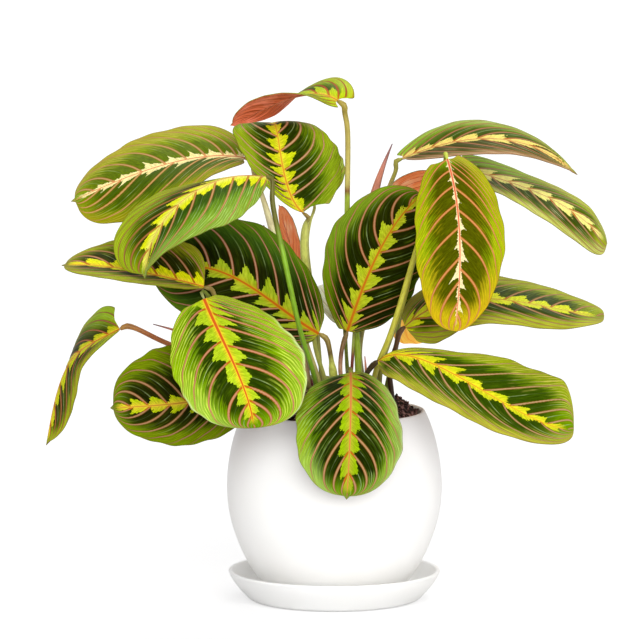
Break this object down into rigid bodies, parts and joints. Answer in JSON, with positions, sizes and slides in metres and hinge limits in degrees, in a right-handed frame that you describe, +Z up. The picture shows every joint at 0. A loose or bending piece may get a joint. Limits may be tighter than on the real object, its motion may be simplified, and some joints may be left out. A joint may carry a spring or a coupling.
{
  "type": "potted prayer plant",
  "caption": "Potted prayer plant with broad patterned leaf blades on arching stalks, in a round-bellied white ceramic pot that stands on its own saucer.",
  "frame": {"origin": "centre of the saucer's flat underside, on the surface that the part stands on and on the axis of the pot and the saucer", "axes": "+Z up along the pot's axis, -Y towards the side shown in the picture, +X to that side's right"},
  "size_m": [0.3868, 0.2282, 0.362],
  "materials": {
    "saucer_ceramic": "satin",
    "pot_ceramic": "satin",
    "potting_soil": "matte",
    "leaf_blade": "satin",
    "leaf_stalk": "satin",
    "young_shoot": "satin"
  },
  "bodies": {
    "root": {"saucer": "saucer_ceramic", "pot": "pot_ceramic", "soil": "potting_soil", "leaf_arching_left": "leaf_blade", "leaf_back_centre": "leaf_blade", "leaf_back_hanging": "leaf_blade", "leaf_back_left": "leaf_blade", "leaf_back_low_right": "leaf_blade", "leaf_back_right": "leaf_blade", "leaf_back_top": "leaf_blade", "leaf_back_upright": "leaf_blade", "leaf_centre": "leaf_blade", "leaf_dark_middle": "leaf_blade", "leaf_edge_left": "leaf_blade", "leaf_front_hanging": "leaf_blade", "leaf_front_left": "leaf_blade", "leaf_low_left_flat": "leaf_blade", "leaf_lower_left": "leaf_blade", "leaf_lower_right": "leaf_blade", "leaf_middle_right": "leaf_blade", "leaf_right_hanging": "leaf_blade", "leaf_second_right": "leaf_blade", "leaf_top_twisted": "leaf_blade", "leaf_upper_left": "leaf_blade", "leaf_upper_middle": "leaf_blade", "leaf_upper_right": "leaf_blade", "stalk_arching_left": "leaf_stalk", "stalk_back_centre": "leaf_stalk", "stalk_back_hanging": "leaf_stalk", "stalk_back_left": "leaf_stalk", "stalk_back_low_right": "leaf_stalk", "stalk_back_right": "leaf_stalk", "stalk_back_top": "leaf_stalk", "stalk_back_upright": "leaf_stalk", "stalk_centre": "leaf_stalk", "stalk_dark_middle": "leaf_stalk", "stalk_edge_left": "leaf_stalk", "stalk_front_hanging": "leaf_stalk", "stalk_front_left": "leaf_stalk", "stalk_low_left_flat": "leaf_stalk", "stalk_lower_left": "leaf_stalk", "stalk_lower_right": "leaf_stalk", "stalk_middle_right": "leaf_stalk", "stalk_right_hanging": "leaf_stalk", "stalk_second_right": "leaf_stalk", "stalk_top_twisted": "leaf_stalk", "stalk_upper_left": "leaf_stalk", "stalk_upper_middle": "leaf_stalk", "stalk_upper_right": "leaf_stalk", "shoot_hidden": "young_shoot", "shoot_left": "young_shoot", "shoot_short": "young_shoot", "shoot_tall": "young_shoot"}
  },
  "joints": []
}
